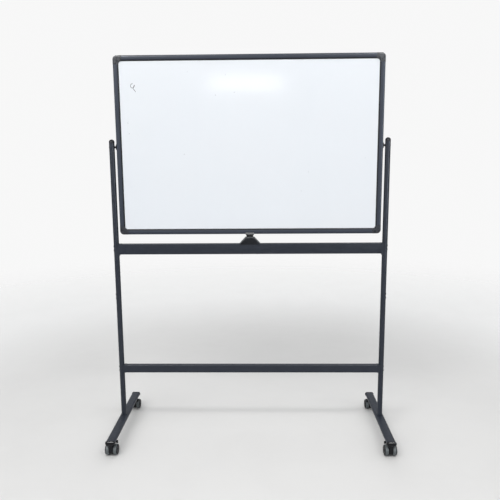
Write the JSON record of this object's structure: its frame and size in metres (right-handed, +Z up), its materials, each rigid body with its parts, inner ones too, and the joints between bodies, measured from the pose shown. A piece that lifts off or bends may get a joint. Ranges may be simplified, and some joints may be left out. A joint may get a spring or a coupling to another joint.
{
  "type": "rolling whiteboard",
  "caption": "Reversible framed whiteboard that turns end over end between two posts on castered feet, with crossrails and a push-down catch that holds it upright.",
  "frame": {"origin": "on the floor, under the middle of the stand", "axes": "+X to the right along the board, +Y from the front face to the rear face, +Z up"},
  "size_m": [1.325, 0.56, 1.798],
  "materials": {
    "stand_steel": "black powder coat, satin",
    "inner_steel": "zinc plated",
    "black_screws": "black oxide",
    "gloss_caps": "glossy black moulding",
    "black_mouldings": "satin black moulding",
    "frame_black": "black anodised extrusion, satin",
    "corner_black": "satin black moulding",
    "board_white": "glossy white enamel on magnetic sheet steel",
    "core": "raw paper honeycomb",
    "catch_grey": "satin grey moulding",
    "caster_black": "satin black nylon",
    "tread_grey": "light grey soft tread"
  },
  "bodies": {
    "stand": {"post_lower_left": "stand_steel", "post_lower_right": "stand_steel", "post_upper_left": "stand_steel", "post_upper_right": "stand_steel", "splice_sleeves": "inner_steel", "post_caps": "gloss_caps", "mid_rail": "stand_steel", "low_rail": "stand_steel", "mid_rail_saddles": "black_mouldings", "low_rail_saddles": "black_mouldings", "rail_screws": "black_screws", "splice_screws": "black_screws", "foot_left": "stand_steel", "foot_right": "stand_steel", "foot_end_caps": "gloss_caps", "foot_bolts": "black_screws", "caster_sockets": "black_mouldings", "caster_stems": "inner_steel", "latch_housing": "black_mouldings", "latch_screws": "black_screws", "latch_spring": "inner_steel", "pivot_pins": "inner_steel"},
    "board": {"core_panel": "core", "sheet_front": "board_white", "sheet_rear": "board_white", "frame_top": "frame_black", "frame_bottom": "frame_black", "frame_left": "frame_black", "frame_right": "frame_black", "frame_corners": "corner_black", "pivot_hubs": "black_mouldings"},
    "catch": {"catch": "catch_grey"},
    "fl_fork": {"caster_fl_body": "caster_black", "caster_fl_axle": "inner_steel"},
    "fl_wheel_a": {"caster_fl_hub_a": "caster_black", "caster_fl_tread_a": "tread_grey"},
    "fl_wheel_b": {"caster_fl_hub_b": "caster_black", "caster_fl_tread_b": "tread_grey"},
    "fl_lever": {"caster_fl_brake": "caster_black"},
    "fr_fork": {"caster_fr_body": "caster_black", "caster_fr_axle": "inner_steel"},
    "fr_wheel_a": {"caster_fr_hub_a": "caster_black", "caster_fr_tread_a": "tread_grey"},
    "fr_wheel_b": {"caster_fr_hub_b": "caster_black", "caster_fr_tread_b": "tread_grey"},
    "fr_lever": {"caster_fr_brake": "caster_black"},
    "rl_fork": {"caster_rl_body": "caster_black", "caster_rl_axle": "inner_steel"},
    "rl_wheel_a": {"caster_rl_hub_a": "caster_black", "caster_rl_tread_a": "tread_grey"},
    "rl_wheel_b": {"caster_rl_hub_b": "caster_black", "caster_rl_tread_b": "tread_grey"},
    "rl_lever": {"caster_rl_brake": "caster_black"},
    "rr_fork": {"caster_rr_body": "caster_black", "caster_rr_axle": "inner_steel"},
    "rr_wheel_a": {"caster_rr_hub_a": "caster_black", "caster_rr_tread_a": "tread_grey"},
    "rr_wheel_b": {"caster_rr_hub_b": "caster_black", "caster_rr_tread_b": "tread_grey"},
    "rr_lever": {"caster_rr_brake": "caster_black"}
  },
  "joints": [
    {"name": "board_flip", "type": "hinge", "parent": "stand", "child": "board", "pos_m": [0, 0, 1.3915], "axis": [1, 0, 0], "continuous": true},
    {"name": "catch_press", "type": "slide", "parent": "stand", "child": "catch", "axis": [0, 0, -1], "range_m": [0, 0.0115], "stiffness_N_per_m": 300, "springref_m": -0.01, "deforming": ["latch_spring"]},
    {"name": "fl_swivel", "type": "hinge", "parent": "stand", "child": "fl_fork", "pos_m": [-0.6345, -0.257, 0.05], "axis": [0, 0, 1], "continuous": true},
    {"name": "fl_roll_a", "type": "hinge", "parent": "fl_fork", "child": "fl_wheel_a", "pos_m": [-0.6345, -0.246, 0.025], "axis": [1, 0, 0], "continuous": true},
    {"name": "fl_roll_b", "type": "hinge", "parent": "fl_fork", "child": "fl_wheel_b", "pos_m": [-0.6345, -0.246, 0.025], "axis": [1, 0, 0], "continuous": true},
    {"name": "fl_brake", "type": "hinge", "parent": "fl_fork", "child": "fl_lever", "pos_m": [-0.6345, -0.241, 0.0535], "axis": [-1, 0, 0], "range_deg": [0, 8]},
    {"name": "fr_swivel", "type": "hinge", "parent": "stand", "child": "fr_fork", "pos_m": [0.6345, -0.257, 0.05], "axis": [0, 0, 1], "continuous": true},
    {"name": "fr_roll_a", "type": "hinge", "parent": "fr_fork", "child": "fr_wheel_a", "pos_m": [0.6345, -0.246, 0.025], "axis": [1, 0, 0], "continuous": true},
    {"name": "fr_roll_b", "type": "hinge", "parent": "fr_fork", "child": "fr_wheel_b", "pos_m": [0.6345, -0.246, 0.025], "axis": [1, 0, 0], "continuous": true},
    {"name": "fr_brake", "type": "hinge", "parent": "fr_fork", "child": "fr_lever", "pos_m": [0.6345, -0.241, 0.0535], "axis": [-1, 0, 0], "range_deg": [0, 8]},
    {"name": "rl_swivel", "type": "hinge", "parent": "stand", "child": "rl_fork", "pos_m": [-0.6345, 0.257, 0.05], "axis": [0, 0, 1], "continuous": true},
    {"name": "rl_roll_a", "type": "hinge", "parent": "rl_fork", "child": "rl_wheel_a", "pos_m": [-0.6345, 0.246, 0.025], "axis": [1, 0, 0], "continuous": true},
    {"name": "rl_roll_b", "type": "hinge", "parent": "rl_fork", "child": "rl_wheel_b", "pos_m": [-0.6345, 0.246, 0.025], "axis": [1, 0, 0], "continuous": true},
    {"name": "rl_brake", "type": "hinge", "parent": "rl_fork", "child": "rl_lever", "pos_m": [-0.6345, 0.241, 0.0535], "axis": [1, 0, 0], "range_deg": [0, 8]},
    {"name": "rr_swivel", "type": "hinge", "parent": "stand", "child": "rr_fork", "pos_m": [0.6345, 0.257, 0.05], "axis": [0, 0, 1], "continuous": true},
    {"name": "rr_roll_a", "type": "hinge", "parent": "rr_fork", "child": "rr_wheel_a", "pos_m": [0.6345, 0.246, 0.025], "axis": [1, 0, 0], "continuous": true},
    {"name": "rr_roll_b", "type": "hinge", "parent": "rr_fork", "child": "rr_wheel_b", "pos_m": [0.6345, 0.246, 0.025], "axis": [1, 0, 0], "continuous": true},
    {"name": "rr_brake", "type": "hinge", "parent": "rr_fork", "child": "rr_lever", "pos_m": [0.6345, 0.241, 0.0535], "axis": [1, 0, 0], "range_deg": [0, 8]}
  ]
}
